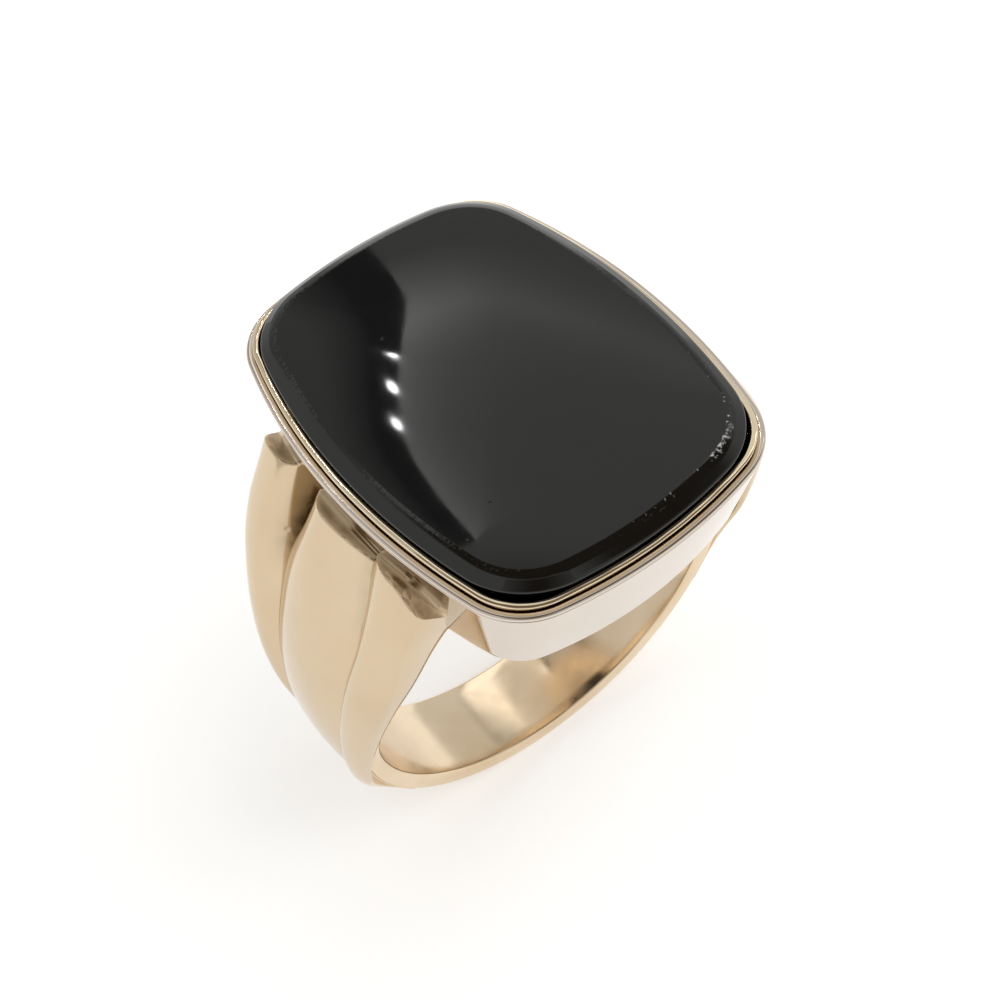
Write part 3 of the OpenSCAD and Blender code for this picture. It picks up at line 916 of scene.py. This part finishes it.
# %% Darken the ceiling and the camera's side
azimuth = np.linspace(-180, 180, 73)[None, :]
climb = np.linspace(0, 1, 22)[:, None]
foot = (66 - 20 * np.exp(-((azimuth + 38) / 34) ** 2) - 8 * np.exp(-((azimuth - 150) / 50) ** 2)
        - 38 * np.exp(-((azimuth - 125) / 45) ** 4))
sky_patch("dark ceiling", azimuth, foot + (90 - foot) * climb,
          dim(np.clip(climb / 0.25, 0, 1) ** 1.5), radius=SKY_R + 8)

SHADE_AT = (-149, 50)
SHADE_W, SHADE_H = 24, 18
spread = np.linspace(-SHADE_W, SHADE_W, 25)[None, :]
rise = np.linspace(-SHADE_H, SHADE_H, 19)[:, None]
body = np.clip(1.25 - np.hypot(spread / SHADE_W, rise / SHADE_H), 0, 1) ** 0.7
sky_patch("camera shade", SHADE_AT[0] + spread / 0.64, SHADE_AT[1] + rise, dim(body), radius=SKY_R - 12)


# %% [markdown]
# The inside of the band looks up and out behind the head. A small bright card close by lifts it without
# being seen in the stone. A white backdrop closes the view for a camera that looks level: it is the only
# patch that the camera sees, and reflections do not see it.

# %% Add the card and the backdrop
CARD_AT = 34
CARD_TOP = 51
card_azimuth = np.linspace(CARD_AT - 30, CARD_AT + 30, 31)[None, :]
card_elevation = np.linspace(34, CARD_TOP, 13)[:, None]
sideways = np.clip((1 - np.abs(card_azimuth - CARD_AT) / 30) * 3, 0, 1)
upward = np.clip((CARD_TOP - card_elevation) / 3 + 0.6, 0, 1)
card = np.maximum(1.45 * sideways * upward, 0.5)
sky_patch("band card", card_azimuth, card_elevation, card[..., None] * NEUTRAL,
          radius=42.0, centre=np.array([0.0, 0.0, -FINGER_R]))

backdrop = sky_patch("backdrop", np.linspace(-180, 180, 73)[None, :], np.linspace(-3, 90, 32)[:, None],
                     np.ones(3), radius=1400.0)
backdrop.visible_camera = True
backdrop.visible_glossy = False
backdrop.visible_transmission = False


# %% [markdown]
# The floor is matt white paper with a faint glow of its own, which keeps the shadow pale. The shadow
# comes from one wide sun, so wide that its edges melt away.

# %% Lay the floor and light the room
floor_z = band_low[2]
REACH = 1500
corners = np.array([(-1, -1), (1, -1), (1, 1), (-1, 1)]) * REACH
floor_mesh = bpy.data.meshes.new("floor")
floor_mesh.from_pydata([(x * MM, y * MM, floor_z * MM) for x, y in corners], [], [(0, 1, 2, 3)])
floor = bpy.data.objects.new("floor", floor_mesh)
bpy.context.collection.objects.link(floor)
paper = bpy.data.materials.new("paper")
paper.use_nodes = True
for socket, value in (("Base Color", (0.9, 0.9, 0.9, 1)), ("Roughness", 1.0), ("Specular IOR Level", 0.0),
                      ("Emission Color", (1, 1, 1, 1)), ("Emission Strength", 0.30)):
    paper.node_tree.nodes["Principled BSDF"].inputs[socket].default_value = value
floor_mesh.materials.append(paper)

world = bpy.data.worlds.new("room")
bpy.context.scene.world = world
world.use_nodes = True
world.node_tree.nodes["Background"].inputs["Color"].default_value = (*NEUTRAL, 1)
world.node_tree.nodes["Background"].inputs["Strength"].default_value = ROOM

key_data = bpy.data.lights.new("key", "SUN")
key_data.energy = 0.75
key_data.angle = np.radians(50)
key = bpy.data.objects.new("key", key_data)
key.rotation_euler = (np.radians(12), np.radians(32), 0)
bpy.context.collection.objects.link(key)
bpy.context.scene.view_settings.view_transform = "Standard"
print("room level", ROOM, "and key light", key_data.energy)


# %% [markdown]
# ## The camera
# The camera looks down on the ring from its front left corner, tilted a little. A lens of about 47 mm on
# a full frame sensor this close gives the near corner of the head its slight swelling.

# %% Place the camera
camera_data = bpy.data.cameras.new("camera")
camera_data.sensor_width = 36
camera_data.lens = 46.78
camera_data.clip_start = 0.001
camera = bpy.data.objects.new("camera", camera_data)
bpy.context.collection.objects.link(camera)
RIGHT = (0.78595251, -0.61205358, -0.08757325)
UP = (0.54156495, 0.61314846, 0.57511423)
BACK = (-0.29830531, -0.49943907, 0.81337233)
CAMERA_AT = (-16.081, -26.131, 49.643)
pose = Matrix.Identity(4)
for row_index in range(3):
    pose[row_index][0] = RIGHT[row_index]
    pose[row_index][1] = UP[row_index]
    pose[row_index][2] = BACK[row_index]
    pose[row_index][3] = CAMERA_AT[row_index] * MM
camera.matrix_world = pose
bpy.context.scene.camera = camera
print("camera at", CAMERA_AT, "mm with a lens of", camera_data.lens, "mm")
